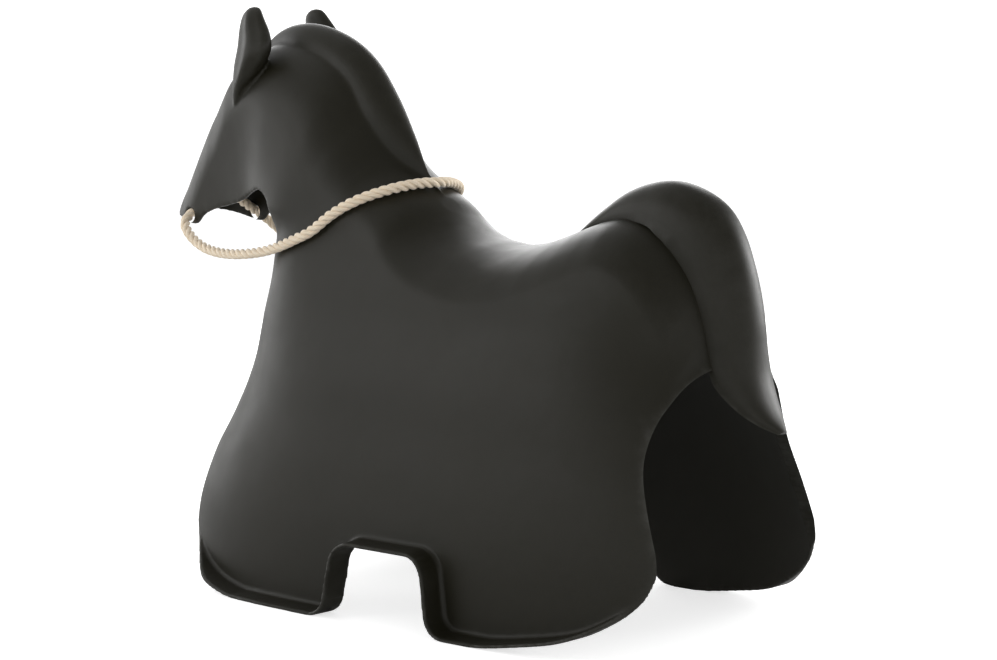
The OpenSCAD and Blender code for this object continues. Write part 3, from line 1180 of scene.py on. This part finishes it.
@dataclass
class Shell:
    """The hollow moulding: body, neck, head, ears, tail and flange in one piece."""

    wall: float = 5.0
    rib_spacing: float = 2.0
    skin_points: int = 96
    hollow_points: int = 80
    tail_steps: int = 8
    voxel: float = 0.0020
    quick_voxel: float = 0.0045
    most_faces: int = 190_000
    smoothing: int = 2
    easing: float = 0.5
    # the edge sharpness at which the lightening of edges, wear and painted highlight, is full
    full_wear_and_highlight: float = 0.16
    body: BodyForm = field(default_factory=BodyForm)
    tail: TailForm = field(default_factory=TailForm)
    ear: EarForm = field(default_factory=EarForm)
    rim: Rim = field(default_factory=Rim)
    openings: Openings = field(default_factory=Openings)

    def _skin(self, name: str) -> bpy.types.Object:
        """Makes the solid within the body's outer skin."""
        return self.body.skin(name, 0.0, self.rib_spacing, self.skin_points)

    def _hollow(self) -> bpy.types.Object:
        """Makes the solid of the room inside the body, neck and head."""
        return self.body.skin("hollow", self.wall, self.rib_spacing, self.hollow_points)

    def surface(self) -> BVHTree:
        """Makes the body's outer skin, for what lies against it.

        Returns:
            A tree to cast rays at, in metres in the frame.
        """
        skin = self._skin("outer skin")
        tree = BVHTree.FromObject(skin, bpy.context.evaluated_depsgraph_get())
        discard(skin)
        return tree

    def build(self, surface: BVHTree) -> bpy.types.Object:
        """Cuts the shell from its solids and rounds its edges.

        Args:
            surface: The body's outer skin.

        Returns:
            The shell as one mesh.
        """
        shell = self._skin("horse_shell")
        flanges = [self.rim.flange(side, surface) for side in Side]
        for side in Side:
            combine(shell, self.ear.solid(side), Boolean.ADD)
        cuts = self.openings
        for cut in (self._hollow(), cuts.throat(), self.rim.opening(), cuts.rein_holes()):
            combine(shell, cut, Boolean.CUT)
        joined(shell, flanges)
        self._round_edges(shell)
        # The arches leave the skin at a thin angle, so their edges are cut after the melt.
        for arch in cuts.arches():
            combine(shell, arch, Boolean.CUT)
        tail = self.tail.solid("tail", 0.0, self.tail_steps)
        combine(tail, self._hollow(), Boolean.CUT)
        for base in (tail, shell):
            combine(base, self.tail.solid("tail hollow", self.wall, self.tail_steps), Boolean.CUT)
        combine(shell, tail, Boolean.ADD)
        # Stores the attribute by which the finish lightens convex edges: partly wear, partly a painted
        # highlight.
        wear_and_highlight_edges(shell, self.full_wear_and_highlight)
        shade_smooth(shell)
        return shell

    def _round_edges(self, shell: bpy.types.Object) -> None:
        """Melts the solids together and rounds every edge, as a mould does.

        Args:
            shell: The joined solids.
        """
        melt = shell.modifiers.new("melt", "REMESH")
        melt.mode = "VOXEL"
        melt.voxel_size = self.voxel
        ease = shell.modifiers.new("ease", "SMOOTH")
        ease.factor = self.easing
        ease.iterations = self.smoothing
        applied(shell)
        self._drop_crumbs(shell)
        count = sum(len(p.vertices) - 2 for p in shell.data.polygons)
        thin = shell.modifiers.new("thin", "DECIMATE")
        thin.ratio = min(1.0, self.most_faces / count)
        applied(shell)

    @staticmethod
    def _drop_crumbs(shell: bpy.types.Object) -> None:
        """Keeps the largest connected part of the mesh.

        Args:
            shell: The remeshed shell.
        """
        work = bmesh.new()
        work.from_mesh(shell.data)
        work.verts.ensure_lookup_table()
        group = np.full(len(work.verts), -1)
        sizes: list[int] = []
        for seed in work.verts:
            if group[seed.index] >= 0:
                continue
            number, stack = len(sizes), [seed]
            group[seed.index] = number
            size = 0
            while stack:
                here = stack.pop()
                size += 1
                for edge in here.link_edges:
                    other = edge.other_vert(here)
                    if group[other.index] < 0:
                        group[other.index] = number
                        stack.append(other)
            sizes.append(size)
        keep = int(np.argmax(sizes))
        bmesh.ops.delete(work, geom=[v for v in work.verts if group[v.index] != keep], context="VERTS")
        LOG.info("shell: kept the largest of %d parts", len(sizes))
        work.to_mesh(shell.data)
        work.free()


# --------------------------------------------------------------------------------------------------------
# The rope


class RopeTree:
    """Geometry Nodes that lay strands of rope along a line."""

    def __init__(self) -> None:
        """Builds the tree and keeps its inputs by name."""
        self.tree = bpy.data.node_groups.new("Laid rope", "GeometryNodeTree")
        self.inputs = {
            name: socket(self.tree, name, kind, value).identifier
            for name, kind, value in (
                ("Line", "Geometry", None),
                ("Rope Diameter", "Float", 0.012),
                ("Strands", "Int", 3),
                ("Lay Length", "Float", 0.036),
                ("Yarn Twist", "Float", 150.0),
                ("Step", "Float", 0.0016),
                ("Sides", "Int", 14),
                ("Finish", "Material", None),
            )
        }
        socket(self.tree, "Rope", "Geometry", out=True)
        self._wire()

    def _wire(self) -> None:
        """Lays the strands: copies of the line, wound round it and given a round section."""
        w = Wiring(self.tree)
        source = w.add("NodeGroupInput").outputs
        strands = source["Strands"]
        # Strands that touch each other fill the rope's diameter: each radius is that of packed circles.
        packed = w.math("SINE", w.math("DIVIDE", math.pi, strands))
        radius = w.math(
            "DIVIDE",
            w.math("MULTIPLY", source["Rope Diameter"], 0.5),
            w.math("ADD", 1.0, w.math("DIVIDE", 1.0, packed)),
        )
        offset = w.math("DIVIDE", radius, packed)
        line = w.add("GeometryNodeMeshToCurve", {"Mesh": source["Line"]})
        even = w.add(
            "GeometryNodeResampleCurve", {"Curve": line.outputs[0], "Length": source["Step"]}, mode="LENGTH"
        )
        copies = w.add(
            "GeometryNodeDuplicateElements", {"Geometry": even.outputs[0], "Amount": strands}, domain="SPLINE"
        )
        length = w.add("GeometryNodeSplineParameter").outputs["Length"]
        turn = w.math("DIVIDE", length, source["Lay Length"])
        start = w.math("DIVIDE", copies.outputs["Duplicate Index"], strands)
        phase = w.math("MULTIPLY", w.math("ADD", turn, start), 2 * math.pi)
        normal = w.add("GeometryNodeInputNormal").outputs[0]
        tangent = w.add("GeometryNodeInputTangent").outputs[0]
        side = w.vector("CROSS_PRODUCT", tangent, normal)
        arm = w.vector(
            "ADD",
            w.scaled(normal, w.math("MULTIPLY", w.math("COSINE", phase), offset)),
            w.scaled(side, w.math("MULTIPLY", w.math("SINE", phase), offset)),
        )
        wound = w.add("GeometryNodeSetPosition", {"Geometry": copies.outputs[0], "Offset": arm})
        kept_length = self._capture(w, wound.outputs[0], length, "length")
        ring = w.add("GeometryNodeCurvePrimitiveCircle", {"Resolution": source["Sides"], "Radius": radius})
        factor = w.add("GeometryNodeSplineParameter").outputs["Factor"]
        kept_factor = self._capture(w, ring.outputs[0], factor, "around")
        swept = w.add(
            "GeometryNodeCurveToMesh",
            {"Curve": kept_length[0], "Profile Curve": kept_factor[0], "Fill Caps": True},
        )
        angle = w.math(
            "ADD",
            w.math("MULTIPLY", kept_factor[1], 2 * math.pi),
            w.math("MULTIPLY", kept_length[1], source["Yarn Twist"]),
        )
        place = w.add(
            "ShaderNodeCombineXYZ",
            {"X": w.math("COSINE", angle), "Y": w.math("SINE", angle), "Z": kept_length[1]},
        )
        named = w.add(
            "GeometryNodeStoreNamedAttribute",
            {"Geometry": swept.outputs[0], "Name": "strand", "Value": place.outputs[0]},
            data_type="FLOAT_VECTOR",
            domain="POINT",
        )
        smooth = w.add("GeometryNodeSetShadeSmooth", {"Geometry": named.outputs[0]})
        real = w.add("GeometryNodeRealizeInstances", {"Geometry": smooth.outputs[0]})
        finish = {"Geometry": real.outputs[0], "Material": source["Finish"]}
        dressed = w.add("GeometryNodeSetMaterial", finish)
        w.link(dressed.outputs[0], w.add("NodeGroupOutput").inputs["Rope"])

    @staticmethod
    def _capture(
        w: Wiring, geometry: bpy.types.NodeSocket, value: bpy.types.NodeSocket, name: str
    ) -> tuple[bpy.types.NodeSocket, bpy.types.NodeSocket]:
        """Keeps a field's value on a curve's points.

        Args:
            w: The tree's wiring.
            geometry: The curve.
            value: The field.
            name: A name for the kept value.

        Returns:
            The curve's socket and the kept value's socket.
        """
        node = w.add("GeometryNodeCaptureAttribute", {"Geometry": geometry}, domain="POINT")
        node.capture_items.new("FLOAT", name)
        w.link(value, node.inputs[1])
        return node.outputs[0], node.outputs[1]

    def lay(self, name: str, route: np.ndarray, values: dict[str, object]) -> bpy.types.Object:
        """Lays a rope along a route.

        Args:
            name: The piece's name.
            route: Points in metres, in the frame.
            values: The tree's inputs by name.

        Returns:
            The rope as a plain mesh.
        """
        mesh = bpy.data.meshes.new(name)
        mesh.from_pydata(route.tolist(), [(i, i + 1) for i in range(len(route) - 1)], [])
        made = linked(name, mesh)
        step = made.modifiers.new("rope", "NODES")
        step.node_group = self.tree
        for key, value in values.items():
            step[self.inputs[key]] = value
        applied(made)
        return made


@dataclass
class Rein:
    """The rope: out of both cheeks, under the jaw, up the neck and over the mane."""

    diameter: float = 0.012
    lay_length: float = 0.030
    lies_from: int = 11  # the first point of the half that touches the neck
    steps: int = 8
    top: Place = (-92.0, 0.0, 454.0)
    # The near half from the knot to the neck; the far half mirrors it.
    half: list = field(
        default_factory=lambda: [
            [-447, -14, 430],
            [-447, -30, 421],
            [-447, -46, 412],
            [-446, -58, 405],
            [-441, -67, 397],
            [-429, -72, 387],
            [-410, -76, 377],
            [-386, -80, 370],
            [-354, -85, 367],
            [-318, -90, 368],
            [-284, -92, 372],
            [-254, -96, 379],
            [-226, -98, 388],
            [-200, -96, 399],
            [-176, -91, 415],
            [-157, -82, 425],
            [-139, -71, 432],
            [-121, -51, 437],
            [-106, -27, 446],
        ]
    )

    def route(self, surface: BVHTree) -> np.ndarray:
        """Lays the rope's centre line against the neck.

        Args:
            surface: The body's outer skin.

        Returns:
            Points in metres, in the frame, from one end to the other.
        """
        near = in_frame([*self.half, self.top])
        for point in near[self.lies_from :]:
            place, normal = surface.find_nearest(Vector(point))[:2]
            point[:] = place + normal * (self.diameter / 2)
        near[-1][1] = 0.0
        far = near[-2::-1] * [1, -1, 1]
        return Curve(np.concatenate([near, far]).tolist()).drawn(self.steps)

    def build(self, route: np.ndarray, tree: RopeTree, finish: bpy.types.Material) -> bpy.types.Object:
        """Lays the rein.

        Args:
            route: The rope's centre line.
            tree: The rope's node tree.
            finish: The rope's material.

        Returns:
            The rein.
        """
        values = {"Rope Diameter": self.diameter, "Lay Length": self.lay_length, "Finish": finish}
        return tree.lay("rope_rein", route, values)


@dataclass
class Knot:
    """The barrel knot in the muzzle: turns of the same rope round the rein's two ends."""

    diameter: float = 0.028
    half_length: float = 0.014
    turns: float = 3.0
    rope: float = 0.0085
    lay_length: float = 0.022
    step: float = 0.0012
    sides: int = 10
    core_sides: int = 12
    narrowing: float = 0.35  # the share that the barrel loses at its ends
    points: int = 160
    core_points: int = 24

    def build(
        self, rein: Rein, end: np.ndarray, tree: RopeTree, finish: bpy.types.Material
    ) -> bpy.types.Object:
        """Winds the knot.

        Args:
            rein: The rein whose ends it holds.
            end: The rein's near end.
            tree: The rope's node tree.
            finish: The rope's material.

        Returns:
            The knot.
        """
        t = np.linspace(-1.0, 1.0, self.points)
        angle = math.pi * self.turns * (t + 1)
        swell = (self.diameter - self.rope) / 2 * (1 - self.narrowing * np.power(t, 4))
        reach = self.half_length - self.rope / 2
        line = np.column_stack([end[0] + swell * np.cos(angle), reach * t, end[2] + swell * np.sin(angle)])
        shared = {"Finish": finish, "Rope Diameter": self.rope, "Lay Length": self.lay_length}
        turns = tree.lay("rein_knot", line, {**shared, "Step": self.step, "Sides": self.sides})
        core = np.tile(end, (self.core_points, 1))
        core[:, 1] = np.linspace(-1, 1, self.core_points) * self.half_length
        same = {"Finish": finish, "Rope Diameter": rein.diameter, "Lay Length": rein.lay_length}
        return joined_rope(turns, tree.lay("rein_knot_core", core, {**same, "Sides": self.core_sides}))


def joined_rope(base: bpy.types.Object, other: bpy.types.Object) -> bpy.types.Object:
    """Joins two ropes into one mesh that keeps the strand attribute.

    Args:
        base: The object that is kept.
        other: The object that is used up.

    Returns:
        base, with both ropes.
    """
    for one in bpy.context.selected_objects:
        one.select_set(False)
    with bpy.context.temp_override(active_object=base, selected_editable_objects=[base, other]):
        bpy.ops.object.join()
    return base


# --------------------------------------------------------------------------------------------------------
# The studio


def aim(made: bpy.types.Object, place: Place, target: Place) -> None:
    """Puts a lamp or a camera in its place and turns it to what it faces.

    Args:
        made: The lamp or camera.
        place: Where it goes.
        target: What it faces.
    """
    made.location = place
    made.rotation_euler = (Vector(target) - Vector(place)).to_track_quat("-Z", "Y").to_euler()


@dataclass(frozen=True)
class Softbox:
    """A square lamp: where it hangs, what it faces, its side in metres and its power in watts."""

    name: str
    place: Place
    target: Place
    size: float
    power: float

    def hang(self) -> None:
        """Adds the lamp to the scene, unseen by the camera."""
        data = bpy.data.lights.new(self.name, "AREA")
        data.shape, data.size, data.energy = "SQUARE", self.size, self.power
        lamp = linked(self.name, data)
        lamp.visible_camera = False
        aim(lamp, self.place, self.target)


@dataclass
class Studio:
    """Pale floor, soft lamps and the camera."""

    eye: Place = (1.77256, -1.94247, 0.54665)
    target: Place = (0.03759, 0.01809, 0.29215)
    lens: float = 86.66
    sensor: float = 36.0
    clip: Span = (0.05, 100.0)
    horizon_light: float = 1.6
    overhead_light: float = 0.37
    between: Span = (0.05, 0.6)  # the directions' heights between which the one passes into the other
    floor_half: float = 12.0
    floor_glow: float = 0.68
    lamps: tuple[Softbox, ...] = (
        Softbox("top softbox", (-1.4, -0.2, 1.9), (0.0, 0.0, 0.2), 2.4, 9.0),
        Softbox("far softbox", (-2.0, 2.3, 1.2), (0.0, 0.0, 0.4), 2.4, 55.0),
        Softbox("key softbox", (-1.6, -2.6, 1.7), (0.0, 0.0, 0.3), 1.4, 14.0),
        Softbox("side softbox", (-3.0, -0.5, 0.8), (-0.2, 0.0, 0.4), 1.4, 12.0),
        Softbox("back softbox", (1.3, 2.7, 1.0), (0.1, 0.0, 0.3), 1.2, 50.0),
    )

    def build(self) -> None:
        """Builds the floor, the world, the lamps and the camera."""
        self._camera()
        self._world()
        self._floor()
        for lamp in self.lamps:
            lamp.hang()

    def _camera(self) -> None:
        """Places the camera."""
        data = bpy.data.cameras.new("camera")
        data.lens, data.sensor_width = self.lens, self.sensor
        data.clip_start, data.clip_end = self.clip
        camera = linked("camera", data)
        aim(camera, self.eye, self.target)
        bpy.context.scene.camera = camera

    def _world(self) -> None:
        """White for the camera; for the object bright at the horizon and dimmer overhead."""
        world = bpy.data.worlds.new("studio")
        bpy.context.scene.world = world
        world.use_nodes = True
        w = Wiring(world.node_tree)
        shader = world.node_tree.nodes["Background"]
        way = w.add("ShaderNodeTexCoord").outputs["Generated"]
        height = w.add("ShaderNodeSeparateXYZ", {"Vector": way}).outputs["Z"]
        light = w.ranged(height, self.between, (self.horizon_light, self.overhead_light))
        seen = w.add("ShaderNodeLightPath").outputs["Is Camera Ray"]
        shader.inputs["Color"].default_value = (1.0, 1.0, 1.0, 1.0)
        w.link(w.math("MAXIMUM", light, seen), shader.inputs["Strength"])

    def _floor(self) -> None:
        """A large pale floor that looks white where no shadow falls."""
        around = ((-1, -1), (1, -1), (1, 1), (-1, 1))
        mesh = bpy.data.meshes.new("floor")
        points = [(x * self.floor_half, y * self.floor_half, 0) for x, y in around]
        mesh.from_pydata(points, [], [(0, 1, 2, 3)])
        floor = linked("floor", mesh)
        settings = {
            "Base Color": (0.80, 0.80, 0.80, 1.0),
            "Roughness": 0.9,
            "Specular IOR Level": 0.1,
            "Emission Color": (1.0, 1.0, 1.0, 1.0),
        }
        made, w, shader = new_material("pale floor", settings)
        seen = w.add("ShaderNodeLightPath").outputs["Is Camera Ray"]
        w.link(w.math("MULTIPLY", seen, self.floor_glow), shader.inputs["Emission Strength"])
        mesh.materials.append(made)


# --------------------------------------------------------------------------------------------------------
# The horse


def report(piece: bpy.types.Object) -> None:
    """Logs a finished piece's name and size."""
    size = [round(length / MM) for length in piece.dimensions]
    LOG.info("%s: %d faces, %s mm", piece.name, len(piece.data.polygons), size)


def main() -> None:
    """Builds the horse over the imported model, part by part."""
    logging.basicConfig(level=logging.INFO, format="%(name)s %(message)s")
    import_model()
    scene = bpy.context.scene
    scene.view_settings.view_transform = "Standard"
    Studio().build()
    groups = SurfaceGroups()
    rope_finish = TwistedCord().material(groups)
    plastic = MouldedPlastic().material(groups)

    form = Shell()
    surface = form.surface()
    shell = form.build(surface)
    shell.data.materials.clear()
    shell.data.materials.append(plastic)
    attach(shell, "root")
    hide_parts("shell")
    report(shell)

    tree = RopeTree()
    rein = Rein()
    route = rein.route(surface)
    rope = rein.build(route, tree, rope_finish)
    knot = Knot().build(rein, route[0], tree, rope_finish)
    for piece, node in ((rope, "rein"), (knot, "knot")):
        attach(piece, "root")
        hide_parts(node)
        report(piece)


if __name__ == "__main__":
    main()
